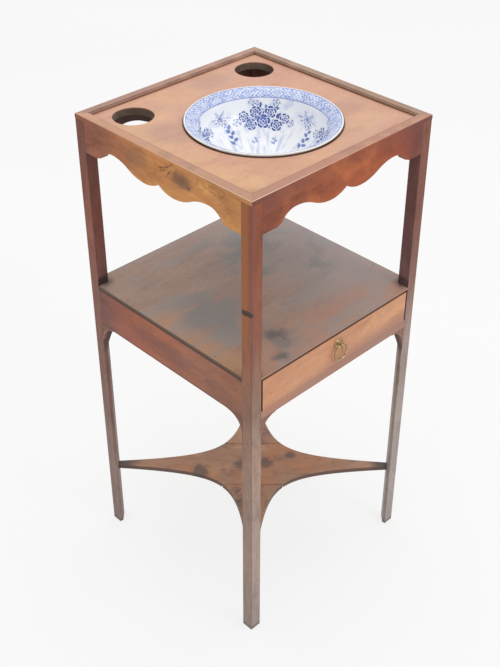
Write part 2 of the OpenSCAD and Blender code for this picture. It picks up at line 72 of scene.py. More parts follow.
class Finish:
    """One material, built from the bare stuff outwards: each call lays something over what is there.

    Colours are written as they are read off a picture, 0 to 255. Points, radii and depths are
    in mm. What is set against x, y and z is in metres, as they are.
    """

    def __init__(self, name, colour, roughness=0.5):
        self.material = bpy.data.materials.new(name)
        self.material.use_nodes = True
        self.tree = self.material.node_tree
        self.shader = self.tree.nodes["Principled BSDF"]
        self.shader.inputs["Roughness"].default_value = roughness
        self.place = self.new("ShaderNodeTexCoord").outputs["Object"]
        split = self.new("ShaderNodeSeparateXYZ", self.place)
        self.x, self.y, self.z = split.outputs
        self.colour = self.new("ShaderNodeRGB").outputs[0]
        self.colour.default_value = srgb(*colour)
        self.relief = None

    def new(self, kind, *inputs, **settings):
        node = self.tree.nodes.new(kind)
        for key, value in settings.items():
            setattr(node, key, value)
        for i, value in enumerate(inputs):
            if value is not None:
                self.feed(node.inputs[i], value)
        return node

    def feed(self, socket, value):
        if isinstance(value, bpy.types.NodeSocket):
            self.tree.links.new(value, socket)
        else:
            socket.default_value = value

    def math(self, operation, a, b=None, c=None):
        return self.new("ShaderNodeMath", a, b, c, operation=operation).outputs[0]

    def vector(self, operation, a, b=None):
        return self.new("ShaderNodeVectorMath", a, b, operation=operation).outputs

    def fade(self, value, start, end, low=0.0, high=1.0):
        node = self.new("ShaderNodeMapRange", value, start, end, low, high, interpolation_type="SMOOTHSTEP")
        return node.outputs[0]

    def both(self, *masks):
        """Where all of the masks are."""
        whole = masks[0]
        for mask in masks[1:]:
            whole = self.math("MULTIPLY", whole, mask)
        return whole

    def off(self, value, middle=0.0):
        """How far a value is from a middle one, to either side."""
        return self.math("ABSOLUTE", self.math("SUBTRACT", value, middle) if middle else value)

    def outermost(self):
        """How far out a place lies from the stand's middle, measured square to its sides."""
        return self.math("MAXIMUM", self.off(self.x), self.off(self.y))

    def hypot(self, a, b):
        return self.math("SQRT", self.math("MULTIPLY_ADD", a, a, self.math("MULTIPLY", b, b)))

    def line(self, value, middle, half, soft):
        """1 within half of a middle value, fading out over a soft edge."""
        return self.fade(self.off(value, middle), half + soft, half)

    def stretched(self, stretch=(1, 1, 1), shift=(0, 0, 0), turn=0):
        place = self.place
        if turn:
            place = self.new("ShaderNodeMapping", place, None, (0, 0, turn)).outputs[0]
        return self.new("ShaderNodeMapping", place, shift, None, stretch).outputs[0]

    def noise(self, scale, detail=3, roughness=0.5, distortion=0.0, where=None):
        node = self.new("ShaderNodeTexNoise", self.place if where is None else where)
        settings = {"Scale": scale, "Detail": detail, "Roughness": roughness, "Distortion": distortion}
        for name, value in settings.items():
            node.inputs[name].default_value = value
        return node.outputs["Fac"]

    def mix(self, how, colour, masks):
        node = self.new("ShaderNodeMix", data_type="RGBA", blend_type=how)
        self.feed(node.inputs[0], self.both(*masks))
        self.tree.links.new(self.colour, node.inputs[6])
        node.inputs[7].default_value = colour
        self.colour = node.outputs[2]

    def lay(self, colour, *masks):
        """A colour over what is there, where all of the masks are."""
        self.mix("MIX", srgb(*colour), masks)

    def tint(self, factors, *masks):
        """Makes what is there lighter or darker, by a factor for red, for green and for blue."""
        self.mix("MULTIPLY", (*factors, 1), masks)

    def shift(self, value, stops):
        """A colour that changes along a value, from stops of (mm, red, green, blue)."""
        first, last = stops[0][0], stops[-1][0]
        share = self.new("ShaderNodeMapRange", value, first / 1000, last / 1000).outputs[0]
        node = self.new("ShaderNodeValToRGB", share)
        for k, (place, *colour) in enumerate(stops):
            if 0 < k < len(stops) - 1:
                mark = node.color_ramp.elements.new((place - first) / (last - first))
            else:
                mark = node.color_ramp.elements[-1 if k else 0]
            mark.color = srgb(*colour)
        self.colour = node.outputs[0]

    def near(self, point, radius, flat=(1, 1, 1)):
        """1 at a point, falling to 0 at a radius; flat squeezes the spot along an axis."""
        centred = self.stretched(flat, [-p / 1000 * f for p, f in zip(point, flat)])
        return self.fade(self.vector("LENGTH", centred)["Value"], radius / 1000, 0.0)

    def scratch(self, start, end, half):
        """1 along a straight scratch between two points, within half mm of its line."""
        way = [(b - a) / 1000 for a, b in zip(start, end)]
        span = sum(w * w for w in way)
        along = self.vector("SUBTRACT", self.place, [a / 1000 for a in start])[0]
        share = self.vector("DOT_PRODUCT", along, [w / span for w in way])["Value"]
        nearest = self.new("ShaderNodeVectorMath", way, operation="SCALE")
        self.feed(nearest.inputs["Scale"], self.math("MINIMUM", self.math("MAXIMUM", share, 0.0), 1.0))
        away = self.vector("DISTANCE", along, nearest.outputs[0])["Value"]
        return self.fade(away, half / 500, half / 2000)

    def emboss(self, height, depth):
        """Raises the surface by depth mm where height is 1."""
        lift = self.math("MULTIPLY", height, depth / 1000)
        self.relief = lift if self.relief is None else self.math("ADD", self.relief, lift)

    def done(self, roughness=None, **sockets):
        self.tree.links.new(self.colour, self.shader.inputs["Base Color"])
        if roughness is not None:
            self.feed(self.shader.inputs["Roughness"], roughness)
        for name, value in sockets.items():
            self.shader.inputs[name.replace("_", " ")].default_value = value
        if self.relief is not None:
            bump = self.new("ShaderNodeBump")
            bump.inputs["Distance"].default_value = 1.0
            self.tree.links.new(self.relief, bump.inputs["Height"])
            self.tree.links.new(bump.outputs[0], self.shader.inputs["Normal"])
        return self.material


def direct_sight(tree):
    """1 where a thing is seen itself, mirrored or through something clear, 0 where it only gives light."""
    ray = tree.nodes.new("ShaderNodeLightPath")
    direct = ray.outputs["Is Camera Ray"]
    for sort in ("Is Glossy Ray", "Is Transmission Ray"):
        either = tree.nodes.new("ShaderNodeMath")
        either.operation = "MAXIMUM"
        tree.links.new(direct, either.inputs[0])
        tree.links.new(ray.outputs[sort], either.inputs[1])
        direct = either.outputs[0]
    return direct


bpy.ops.mesh.primitive_plane_add(size=16, location=(0, 0, 0))
floor = bpy.context.object
floor.name = "floor"
paper = Finish("studio_paper", (249, 249, 249), 0.9)
paper.lay((245, 245, 246), paper.fade(paper.noise(1.5), 0.35, 0.65))
paper.done(Specular_IOR_Level=0.1)
watched = paper.both(direct_sight(paper.tree), 0.75)
white = paper.new("ShaderNodeEmission", srgb(253, 253, 253))
sheet = paper.new("ShaderNodeMixShader", watched, paper.shader.outputs[0], white.outputs[0])
paper.tree.links.new(sheet.outputs[0], paper.tree.nodes["Material Output"].inputs["Surface"])
floor.data.materials.append(paper.material)

room = bpy.data.worlds.new("room")
bpy.context.scene.world = room
room.use_nodes = True
tree = room.node_tree
lit = tree.nodes["Background"]
lit.inputs["Color"].default_value = (1.0, 0.99, 0.98, 1)
lit.inputs["Strength"].default_value = 0.8
seen = tree.nodes.new("ShaderNodeBackground")
seen.inputs["Color"].default_value = (1, 1, 1, 1)
around_us = tree.nodes.new("ShaderNodeMixShader")
tree.links.new(direct_sight(tree), around_us.inputs[0])
tree.links.new(lit.outputs[0], around_us.inputs[1])
tree.links.new(seen.outputs[0], around_us.inputs[2])
tree.links.new(around_us.outputs[0], tree.nodes["World Output"].inputs["Surface"])


# Lamps: a wide soft box over the stand, and a smaller one in front on the right.
# Both are round, and large enough to leave no hard shadow.
def soft_box(name, place, aim, size, power):
    bpy.ops.object.light_add(type="AREA", location=place)
    lamp = bpy.context.object
    lamp.name = name
    lamp.data.shape = "DISK"
    lamp.data.size = size
    lamp.data.energy = power
    away = [a - p for a, p in zip(aim, place)]
    flat = math.hypot(away[0], away[1])
    lamp.rotation_euler = (math.pi / 2 + math.atan2(away[2], flat), 0, math.atan2(-away[0], away[1]))


soft_box("overhead", (0.3, 0.2, 3.0), (0, 0, 0.5), 2.0, 14)
soft_box("front", (0.6, -2.6, 2.0), (0, 0, 0.4), 1.4, 16)


# Legs: square lengths of mahogany, red brown at the top and greyer towards the feet, where the grey
# is a painted reflection of the white floor. Only the outer faces were polished, and painted shade with dirt
# darkens the inner ones.
def dress(node, material, width=None):
    """Gives a piece its material, and rounds its sharp arrises over a width in mm, as dusting does."""
    piece = nodes[node]
    piece.data.materials.clear()
    piece.data.materials.append(material)
    if width is None:
        return
    weld = piece.modifiers.new("weld", "WELD")
    weld.merge_threshold = 0.00001
    flat = piece.modifiers.new("flat", "DECIMATE")
    flat.decimate_type = "DISSOLVE"
    flat.angle_limit = math.radians(0.5)
    bevel = piece.modifiers.new("arris", "BEVEL")
    bevel.width = width / 1000
    bevel.segments = 3
    bevel.limit_method = "ANGLE"
    bevel.angle_limit = math.radians(35)


STRETCH = {"X": (0.05, 1, 1), "Y": (1, 0.05, 1), "Z": (1, 1, 0.05)}
DEEPER = (0.52, 0.43, 0.42)
FAIRER = (1.38, 1.38, 1.32)


def grain(wood, along, shift=0.0, turn=0, figure=1.0, streaks=1.0):
    """Mahogany's own pattern along one axis: cloudy figure, curly marks, fine streaks and open pores."""
    fine = wood.stretched(STRETCH[along], (shift, shift * 1.7, shift * 0.6), turn)
    broad = wood.stretched([max(s, 0.32) for s in STRETCH[along]], (shift, shift, shift), turn)
    curly = wood.stretched([max(s, 0.5) for s in STRETCH[along]], (shift * 2, shift, shift), turn)
    ribbon = wood.noise(30, 4, 0.6, 0.5, broad)
    curl = wood.noise(105, 4, 0.65, 1.2, curly)
    streak = wood.noise(300, 5, 0.65, where=fine)
    for pattern, amount in ((ribbon, 0.5 * figure), (curl, 0.32 * figure), (streak, 0.3 * streaks)):
        wood.tint(DEEPER, wood.fade(pattern, 0.5, 0.72, 0, amount))
        wood.tint(FAIRER, wood.fade(pattern, 0.5, 0.28, 0, amount))
    wood.cloud = wood.noise(11, 4, 0.6, 0.3, wood.stretched(shift=(shift, 0, shift)))
    wood.pores = wood.fade(wood.noise(1900, 2, where=fine), 0.6, 0.7)
    wood.lay((60, 34, 26), wood.pores, 0.25)
    wood.emboss(wood.pores, -0.05)
    wood.emboss(streak, 0.04)
    wood.emboss(wood.noise(28, 2, where=broad), 0.2)


def wax(wood, roughness=0.42, spread=0.14):
    """Old wax polish: duller in patches, and in the pores."""
    patchy = wood.fade(wood.cloud, 0.3, 0.7, roughness, roughness + spread)
    dull = wood.math("MULTIPLY_ADD", wood.pores, 0.2, patchy)
    return wood.done(dull, Specular_IOR_Level=0.25, Coat_Weight=0.05, Coat_Roughness=0.3)


leg_low, leg_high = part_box("leg_back_right")
shelf_low, shelf_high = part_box("shelf")
rail_low, rail_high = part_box("drawer_rail")
IN_FACE, OUT_FACE = leg_low.x, leg_high.x
OUTER = OUT_FACE * 1000
SHELF_Z = shelf_high.z * 1000
WANDER = 0.1
# The greyer tones low down are a painted reflection of the white floor.
LEG_TONES = {
    "leg_front_left": [
        (0, 149, 133, 124), (150, 153, 130, 119), (330, 152, 124, 109),
        (450, 143, 105, 86), (600, 144, 86, 64), (782, 138, 72, 48),
    ],
    "leg_front_right": [
        (0, 146, 134, 128), (200, 153, 138, 130), (400, 146, 124, 114),
        (500, 134, 98, 86), (640, 122, 76, 64), (782, 134, 82, 64),
    ],
    "leg_back_right": [
        (0, 146, 130, 122), (200, 150, 130, 120), (400, 140, 110, 96), (600, 124, 80, 62), (782, 120, 72, 54),
    ],
    "leg_back_left": [
        (0, 136, 118, 112), (200, 136, 111, 103), (420, 132, 92, 80), (600, 136, 80, 62), (782, 126, 74, 56),
    ],
}
for i, (leg, tones) in enumerate(LEG_TONES.items()):
    wood = Finish("polished_" + leg, tones[0][1:])
    level = wood.math("SUBTRACT", wood.z, WANDER / 2)
    wood.shift(wood.math("MULTIPLY_ADD", wood.noise(11), WANDER, level), tones)
    grain(wood, "Z", 0.37 * i + 0.1)
    from_left, from_front = [wood.math("ADD", value, OUT_FACE) for value in (wood.x, wood.y)]
    left_face, front_face = [wood.fade(value, 0.001, 0.0003) for value in (from_left, from_front)]
    # Painted light: the front faces are lighter and bluer low down, as if lit by the floor.
    floor_light_low = wood.both(wood.fade(wood.z, 0.56, 0.38), wood.fade(wood.z, 0.0, 0.14, 0.4, 1.0))
    wood.tint((1.2, 1.28, 1.35), front_face, floor_light_low)
    out_x, out_y = wood.off(wood.x), wood.off(wood.y)
    inner_faces = [wood.fade(value, IN_FACE + 0.0013, IN_FACE + 0.0003) for value in (out_x, out_y)]
    inner_face = wood.math("MAXIMUM", *inner_faces)
    # Painted shade, with dirt: the inner faces are darker and bluer higher up, under the top.
    wood.tint((0.82, 0.94, 1.2), inner_face, wood.fade(wood.z, 0.42, 0.5))
    # Painted shade, with dirt: the inner faces and the chamfer are darkened at the stops under the rails.
    chamfered = wood.fade(wood.outermost(), OUT_FACE - 0.0012, OUT_FACE - 0.0022)
    at_stop = wood.both(
        wood.fade(wood.z, rail_low.z - 0.061, rail_low.z - 0.037),
        wood.fade(wood.z, rail_low.z + 0.005, rail_low.z - 0.001),
    )
    scooped = wood.both(wood.math("MAXIMUM", inner_face, chamfered), at_stop)
    wood.lay((84, 72, 70), scooped, wood.fade(wood.noise(60), 0.3, 0.6, 0.55, 0.9))
    arris = wood.fade(wood.math("MINIMUM", out_x, out_y), OUT_FACE - 0.0013, OUT_FACE - 0.0004)
    wood.lay((116, 84, 68), arris, wood.fade(wood.cloud, 0.3, 0.5, 0.25, 0.6))
    # Painted contact shade, with dirt, on the inner faces just over the shelf.
    shade_and_dirt_over_shelf = wood.line(wood.z, shelf_high.z + 0.005, 0.004, 0.009)
    wood.lay((50, 40, 40), inner_face, shade_and_dirt_over_shelf, wood.fade(wood.noise(60), 0.35, 0.5, 0.5, 1.0), 0.92)
    if leg == "leg_front_left":
        near_front = wood.fade(from_front, 0.0035, 0.0095)
        wood.lay((158, 98, 54), left_face, near_front, wood.fade(wood.z, 0.47, 0.6, 0, 0.8))
        near_left = wood.fade(from_left, 0.009, 0.004)
        wood.lay((124, 80, 72), front_face, near_left, wood.fade(wood.z, 0.42, 0.56, 0, 0.5))
        wood.tint((0.97, 1.12, 1.18), front_face, wood.line(wood.z, 0.475, 0.04, 0.07))
        ragged = wood.fade(wood.noise(170, 3, 0.6), 0.3, 0.6, 0.7, 1.2)
        for bruise, radius in (((-OUTER, -161, 612.8), 8.4), ((-OUTER, -169.5, 614.4), 9.2)):
            spot = wood.both(wood.near(bruise, radius, (1, 0.85, 1.2)), ragged)
            wood.lay((44, 44, 40), wood.fade(spot, 0.12, 0.55, 0, 0.9))
    foot_dirt = wood.fade(wood.z, 0.011, 0.003, 0, 0.65)
    wood.lay((98, 88, 84), foot_dirt, wood.fade(wood.noise(90), 0.3, 0.6, 0.5, 1.0))
    # Painted shade on the inner faces beside the drawer, in the gaps round it.
    shade_beside_drawer = wood.both(
        wood.fade(wood.z, rail_high.z - 0.0005, rail_high.z + 0.0005),
        wood.fade(wood.z, shelf_low.z + 0.0005, shelf_low.z - 0.0005),
        wood.fade(out_x, IN_FACE + 0.0006, IN_FACE + 0.0001),
    )
    wood.lay((58, 32, 26), shade_beside_drawer, 0.95)
    dress(leg, wax(wood), 0.45)


# Chamfer stops: under the rails each leg stays square for a short way, and then a gouge has
# scooped out its inner corner until it runs into the chamfer.
def trace(points):
    """A new object with edges through points given in mm, left in edit mode."""
    bpy.ops.mesh.primitive_plane_add(size=0.01, location=[c / 1000 for c in points[0]])
    bpy.ops.object.mode_set(mode="EDIT")
    bpy.ops.mesh.merge(type="CENTER")
    for a, b in zip(points, points[1:]):
        step = [(q - p) / 1000 for p, q in zip(a, b)]
        bpy.ops.mesh.extrude_region_move(TRANSFORM_OT_translate={"value": step})
    return bpy.context.object


# The brackets are as thick as the flat that the chamfer leaves beside it. Each stop is let
# into its leg and stands a hair proud of the inner faces, so that no two faces lie together.
bracket_low, bracket_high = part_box("bracket_back_right")
LEG_IN = IN_FACE * 1000
CHAMFER = OUTER - LEG_IN - (bracket_high.y - bracket_low.y) * 1000
STOP_TOP = rail_low.z * 1000
STOP_SQUARE, SCOOP_H, SCOOP_BEND = 20.0, 26.5, 1.3
LET_IN, PROUD, OVER = 0.3, 0.02, 1
SCOOP_STEPS = 24
root = math.sqrt(2)
deep = CHAMFER / root
square_end = STOP_TOP - STOP_SQUARE
scoop_end = square_end - SCOOP_H
outline = [(-LET_IN, scoop_end), (-LET_IN, STOP_TOP + OVER)]
outline += [(deep + OVER, STOP_TOP + OVER), (deep + OVER, square_end)]
for k in range(SCOOP_STEPS, -1, -1):
    share = k / SCOOP_STEPS
    outline.append((deep * share ** SCOOP_BEND, scoop_end + SCOOP_H * share))
face_at = LEG_IN + CHAMFER / 2
flank = deep + 2 * OVER
plank = trace([
    (face_at - (inward + flank) / root, face_at - (inward - flank) / root, height)
    for inward, height in outline
])
bpy.ops.mesh.select_all(action="SELECT")
bpy.ops.mesh.edge_face_add()
through = flank * root / 1000
bpy.ops.mesh.extrude_region_move(TRANSFORM_OT_translate={"value": (through, -through, 0)})
bpy.ops.mesh.select_all(action="SELECT")
bpy.ops.mesh.normals_make_consistent()
bpy.ops.object.mode_set(mode="OBJECT")
middle = (LEG_IN - PROUD + OUTER) / 2000
wide = (OUTER - LEG_IN + PROUD) / 1000
bpy.ops.mesh.primitive_cube_add(size=1, location=(middle, middle, rail_low.z), scale=(wide, wide, 0.2))
stop = bpy.context.object
bpy.ops.object.transform_apply()
common = stop.modifiers.new("common", "BOOLEAN")
common.operation = "INTERSECT"
common.solver = "EXACT"
common.object = plank
bpy.ops.object.modifier_apply(modifier="common")
bpy.data.objects.remove(plank)
stops = [stop]
for k in range(3):
    bpy.ops.object.duplicate()
    bpy.context.object.rotation_euler.z = math.radians(90)
    bpy.ops.object.transform_apply()
    stops.append(bpy.context.object)
for stop, leg in zip(stops, ["leg_back_right", "leg_back_left", "leg_front_left", "leg_front_right"]):
    stop.name = "stop_" + leg
    stop.data.materials.clear()
    stop.data.materials.append(nodes[leg].data.materials[0])
    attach(stop, "stand")


# Aprons: thin boards tenoned between the legs, their lower edges sawn to a double cyma
# and cleaned up with a file. The left one is a paler, cloudier board than the rest.
def apron_board(name, side):
    """The wood of one apron. Its lip strip was cut from the same board."""
    wood = Finish(name, (150, 88, 62))
    sideways = side in ("left", "right")
    if side == "left":
        wood.shift(wood.y, [
            (-175, 192, 132, 76), (-60, 198, 136, 80), (20, 200, 134, 74),
            (70, 172, 110, 68), (120, 154, 94, 66), (175, 144, 86, 64),
        ])
    elif side == "front":
        wood.shift(wood.x, [
            (-175, 126, 68, 54), (-140, 142, 76, 52), (-80, 150, 78, 46), (20, 148, 73, 40),
            (90, 162, 79, 42), (120, 144, 70, 48), (145, 108, 58, 50), (175, 120, 70, 58),
        ])
    shift = {"front": 0.2, "right": 1.1, "back": 2.0, "left": 2.3}[side]
    grain(wood, "Y" if sideways else "X", shift, figure=1.3 if side == "front" else 1.15, streaks=0.6)
    low_edge = wood.fade(wood.z, 0.751, 0.729, 0, 0.5)
    if side == "left":
        wood.lay((220, 156, 84), low_edge, wood.fade(wood.y, 0.1, 0.02), wood.fade(wood.cloud, 0.65, 0.4))
        sunned = wood.near((-OUTER, -92, 769), 22, (1, 0.7, 1.6))
        wood.lay((226, 172, 96), sunned, wood.fade(wood.noise(90, 4, 0.6, 0.8), 0.45, 0.6))
        for y, z, radius, flat, depth in (
            (-46, 761, 31, (1, 0.85, 1.5), 0.95),
            (45, 762, 40, (1, 0.8, 1.6), 0.4),
            (-61, 754.5, 4.5, (1, 1, 1), 0.9),
        ):
            spot = wood.near((-OUTER, y, z), radius, flat)
            smoke = wood.both(spot, wood.fade(wood.noise(60, 4, 0.6, 0.3), 0.34, 0.6, 0.65, 1.0))
            wood.lay((116, 82, 62), wood.fade(smoke, 0.08, 0.75, 0, depth))
        rough = wood.fade(wood.noise(150, 3, 0.7), 0.4, 0.58, 0.15, 1.0)
        for start, end in (
            ((-30, 778), (-19, 770)), ((-19, 770), (-4, 764)), ((-14, 764), (1, 758)),
            ((-24, 765), (-17, 756)), ((-98, 767), (-116, 764)), ((-119, 763), (-126, 770)),
        ):
            mark = wood.scratch((-OUTER, *start), (-OUTER, *end), 0.9)
            wood.lay((104, 60, 42), mark, rough, wood.fade(wood.y, -0.09, -0.06, 0.5, 0.9))
    else:
        aside = wood.off(wood.x)
        wood.lay((190, 102, 54), low_edge, wood.fade(wood.cloud, 0.65, 0.4))
        wood.lay((206, 116, 54), wood.fade(wood.cloud, 0.48, 0.32, 0, 0.5), wood.fade(aside, 0.15, 0.11))
        wood.lay((112, 60, 48), wood.fade(wood.cloud, 0.54, 0.72, 0, 0.5))
        under_lip = wood.fade(wood.z, 0.748, 0.774, 0, 0.6)
        wood.lay((112, 64, 54), under_lip, wood.fade(aside, 0.03, 0.12, 0.35, 1.0))
    # Painted shade: the back face of the board, inside the stand, is darkened.
    shaded_inner_face = wood.fade(wood.off(wood.x if sideways else wood.y), 0.1626, 0.1622)
    wood.lay((66, 46, 44), shaded_inner_face, 0.85)
    return wood


def rub_edges(wood, node, colour, width, amount):
    """Changes the wood within a width in mm of a board's edges, where dusters reach it."""
    low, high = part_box(node)
    gaps = []
    for value, a, b in zip((wood.x, wood.y, wood.z), low, high):
        centre = wood.math("SUBTRACT", value, (a + b) / 2)
        gaps.append(wood.math("SUBTRACT", (b - a) / 2, wood.off(centre)))
    least = wood.math("MINIMUM", wood.math("MINIMUM", gaps[0], gaps[1]), gaps[2])
    most = wood.math("MAXIMUM", wood.math("MAXIMUM", gaps[0], gaps[1]), gaps[2])
    total = wood.math("ADD", wood.math("ADD", gaps[0], gaps[1]), gaps[2])
    middle = wood.math("SUBTRACT", wood.math("SUBTRACT", total, least), most)
    ragged = wood.math("MULTIPLY_ADD", wood.noise(160, 3, 0.6), -width / 1000, middle)
    wood.lay(colour, wood.fade(ragged, width / 2500, -width / 3000, 0, amount))


for side in ("front", "right", "back", "left"):
    apron = "apron_" + side
    wood = apron_board(apron + "_wood", side)
    rub_edges(wood, apron, (150, 98, 74), 1.6, 0.25)
    dress(apron, wax(wood), 0.5)

# Rails: deep boards at the sides and back, tenoned into the legs before the top goes on.
# The thin one under the drawer comes with the drawer, because both have faded alike.
for i, rail in enumerate(["rail_right", "rail_back", "rail_left"]):
    wood = Finish("red_" + rail, (148, 92, 72))
    if rail == "rail_left":
        wood.shift(wood.y, [
            (-175, 154, 104, 80), (-80, 162, 106, 80), (40, 160, 94, 70),
            (110, 152, 88, 70), (145, 128, 80, 72), (175, 114, 76, 70),
        ])
    grain(wood, "YXY"[i], 1.3 * i + 0.7, streaks=0.6)
    wood.lay((176, 112, 76), wood.fade(wood.cloud, 0.54, 0.74, 0, 0.5))
    streaky = wood.fade(wood.noise(44, 3, 0.6, 0.4, wood.stretched((1, 0.3, 1))), 0.4, 0.62, 0, 0.7)
    for y, z, radius in ((146, 450, 44), (30, 470, 46), (-70, 452, 60)):
        wood.lay((110, 78, 74), wood.near((-OUTER, y, z), radius, (1, 0.5, 1.6)), streaky)
    wood.lay((92, 60, 52), wood.fade(wood.z, 0.4365, 0.4335, 0, 0.55))
    # Painted shadow: the rails' top edge just under the shelf is darkened.
    wood.lay((58, 40, 34), wood.fade(wood.z, shelf_low.z - 0.004, shelf_low.z - 0.001, 0, 0.85))
    dress(rail, wax(wood), 0.5)

# Brackets: hollow quarter rounds glued in the angles under the rails and pinned through
# to the leg. The heads of the pins have rusted black.
TOE = 1.2
for i, bracket in enumerate(sorted(n for n in nodes if n.startswith("bracket_"))):
    low, high = [[c * 1000 for c in corner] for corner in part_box(bracket)]
    middle = [(a + b) / 2 for a, b in zip(low, high)]
    flat_way = 0 if high[0] - low[0] < high[1] - low[1] else 1
    run = 1 - flat_way
    at_low = middle[run] < 0
    corner, tip = (low[run], high[run]) if at_low else (high[run], low[run])
    wood = Finish(bracket + "_wood", (136, 98, 82) if bracket.startswith("bracket_front") else (128, 86, 72))
    grain(wood, "Z", 0.53 * i)
    for inward, below in ((4.5, 16), (17, 4.5)):
        pin = [0, 0, high[2] - below]
        pin[flat_way] = (low if middle[flat_way] < 0 else high)[flat_way]
        pin[run] = corner + (inward if at_low else -inward)
        wood.lay((44, 36, 34), wood.near(pin, 1.5))
    hollow = list(low)
    hollow[run] = tip
    level = [1, 1, 1]
    level[flat_way] = 0
    bow = high[run] - low[run] - TOE
    to_arris = wood.line(wood.near(hollow, 2 * bow, level), 0.5, 0.015, 0.02)
    outer_face = wood.fade(wood.off((wood.x, wood.y)[flat_way]), OUT_FACE - 0.0015, OUT_FACE - 0.0005)
    wood.lay((180, 148, 130), to_arris, outer_face, wood.fade(wood.noise(230), 0.4, 0.6, 0.3, 0.8))
    dress(bracket, wax(wood), 0.35)

# Shelf: one wide board over the drawer, notched round the legs. Standing water has turned
# it a dull grey brown with blue-black blotches, and only the near edges kept their tan.
# The stronger grey towards the right is a painted reflection of the white room.
wood = Finish("stained_shelf", (172, 145, 132))
grain(wood, "X", 5.2, figure=0.55, streaks=0.15)
marbled = wood.stretched((0.6, 1.15, 1), (3.1, 0.4, 0))
stain = wood.noise(15, 5, 0.62, 0.9, marbled)
wood.lay((158, 150, 146), wood.fade(stain, 0.55, 0.38, 0, 0.8))
wood.lay((182, 146, 128), wood.fade(stain, 0.55, 0.7, 0, 0.4))
# Painted reflection: the board greys towards the right, as the white room shows in its sheen.
wood.lay((169, 160, 160), wood.fade(wood.x, -0.03, 0.12, 0, 0.6))
ragged = wood.fade(stain, 0.6, 0.38, 0.35, 1.2)
for x, y, radius, flat, depth in (
    (-72, -108, 54, (1, 0.7, 1), 0.62),
    (-98, -20, 78, (0.8, 0.8, 1), 0.35),
    (60, 30, 120, (0.8, 1, 1), 0.55),
    (20, 100, 80, (0.7, 1, 1), 0.35),
    (-100, 100, 60, (1, 1.4, 1), 0.3),
    (96, -10, 90, (1, 0.7, 1), 0.4),
):
    soaked = wood.both(wood.near((x, y, SHELF_Z), radius, flat), ragged)
    wood.lay((122, 126, 124), wood.fade(soaked, 0.05, 0.9, 0, depth))
wood.lay((190, 144, 122), wood.fade(wood.y, -0.085, -0.15), wood.fade(stain, 0.34, 0.56, 0.25, 0.8))
left_edge = wood.both(wood.fade(wood.x, -0.125, -0.165), wood.fade(wood.y, 0.09, -0.02))
wood.lay((192, 148, 116), left_edge, wood.fade(stain, 0.34, 0.56, 0.3, 0.9))
curl = wood.line(wood.noise(34, 4, 0.65, 1.6, marbled), 0.5, 0.004, 0.03)
wood.tint((0.66, 0.63, 0.63), curl, 0.14)
blotted = wood.fade(wood.noise(48, 3, 0.6, 0.4), 0.34, 0.62, 0.4, 1.1)
for x, y, radius in ((-104, -158, 24), (-80, -140, 22), (-72, -116, 32)):
    drop = wood.both(wood.near((x, y, SHELF_Z), radius, (1, 1.1, 1)), blotted)
    wood.lay((98, 94, 98), wood.fade(drop, 0.05, 0.95, 0, 0.75))
# Dark patches on the shelf round the legs: dirt, with painted contact shade.
grime_and_shade = wood.fade(wood.noise(60), 0.35, 0.5, 0.4, 1.0)
for x in (-158, 158):
    for y in (-158, 158):
        wood.lay((70, 54, 50), wood.near((x, y, SHELF_Z), 17), grime_and_shade, 0.75)
worn_edge = wood.fade(wood.outermost(), OUT_FACE - 0.0013, OUT_FACE - 0.0002)
wood.lay((88, 70, 56), worn_edge, wood.fade(wood.y, 0.0005 - OUT_FACE, 0.0015 - OUT_FACE, 0.25, 0.9))
# Painted shadow: the lower part of the shelf's edge is darkened into a dark line under it.
wood.lay((64, 38, 30), wood.fade(wood.z, shelf_low.z + 0.0021, shelf_low.z + 0.0011, 0, 0.9))
dress("shelf", wax(wood, 0.4, 0.16), 0.7)

# Shelf pins and drawer nails: cut iron, filed flush and blackened.
# They were driven in from above and from below, and have rusted where they show.
iron = Finish("black_iron", (62, 58, 56), 0.55)
iron.lay((104, 74, 56), iron.fade(iron.noise(900, 4, 0.6), 0.5, 0.65, 0, 0.7))
iron.emboss(iron.noise(1500), 0.06)
iron.done(Metallic=0.7)
dress("shelf_pins", iron.material)
dress("bottom_nails", iron.material)

# Top: a thin panel let down inside the aprons, sawn out for the bowl and for two cups.
# Sun and soapy water have bleached it to a pinkish tan, with a soft shine left on it.
bowl_low, bowl_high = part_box("bowl")
panel_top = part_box("top_panel")[1].z
BOWL_Y = (bowl_low.y + bowl_high.y) / 2 * 1000
PANEL_Z = panel_top * 1000
CUP_AT = 117.5
wood = Finish("bleached_top", (208, 161, 138))
wash = wood.noise(10, 4, 0.6, 0.6, wood.stretched((0.7, 1, 1), (1.4, 0, 0)))
# Painted sheen: the top is lighter and warmer towards the near corner.
wood.lay((218, 172, 132), wood.fade(wood.math("ADD", wood.x, wood.y), -0.08, -0.26, 0, 0.9))
wood.lay((216, 172, 132), wood.fade(wash, 0.5, 0.66, 0, 0.6))
wood.lay((198, 143, 126), wood.fade(wash, 0.47, 0.32, 0, 0.55))
grain(wood, "X", 7.7, figure=0.3, streaks=0.12)
cloudy = wood.fade(wash, 0.35, 0.6, 0.3, 1.0)
for x, y, radius, flat in (
    (110, -70, 55, (0.7, 1.3, 1)),
    (-118, 40, 50, (1, 0.8, 1)),
    (40, 130, 45, (0.7, 1, 1)),
):
    grey = wood.both(wood.near((x, y, PANEL_Z), radius, flat), cloudy)
    wood.lay((184, 142, 128), wood.fade(grey, 0.1, 0.8, 0, 0.6))
# Painted shade in the crease at the foot of the lips, stronger on the back and right sides.
far_sides = wood.fade(wood.math("MAXIMUM", wood.x, wood.y), 0.1555, 0.157, 0.4, 1.0)
lip_crease_shade = wood.both(far_sides, wood.fade(wood.outermost(), 0.1565, 0.1592))
wood.lay((150, 104, 88), lip_crease_shade, wood.fade(wood.cloud, 0.3, 0.6, 0.3, 0.9))
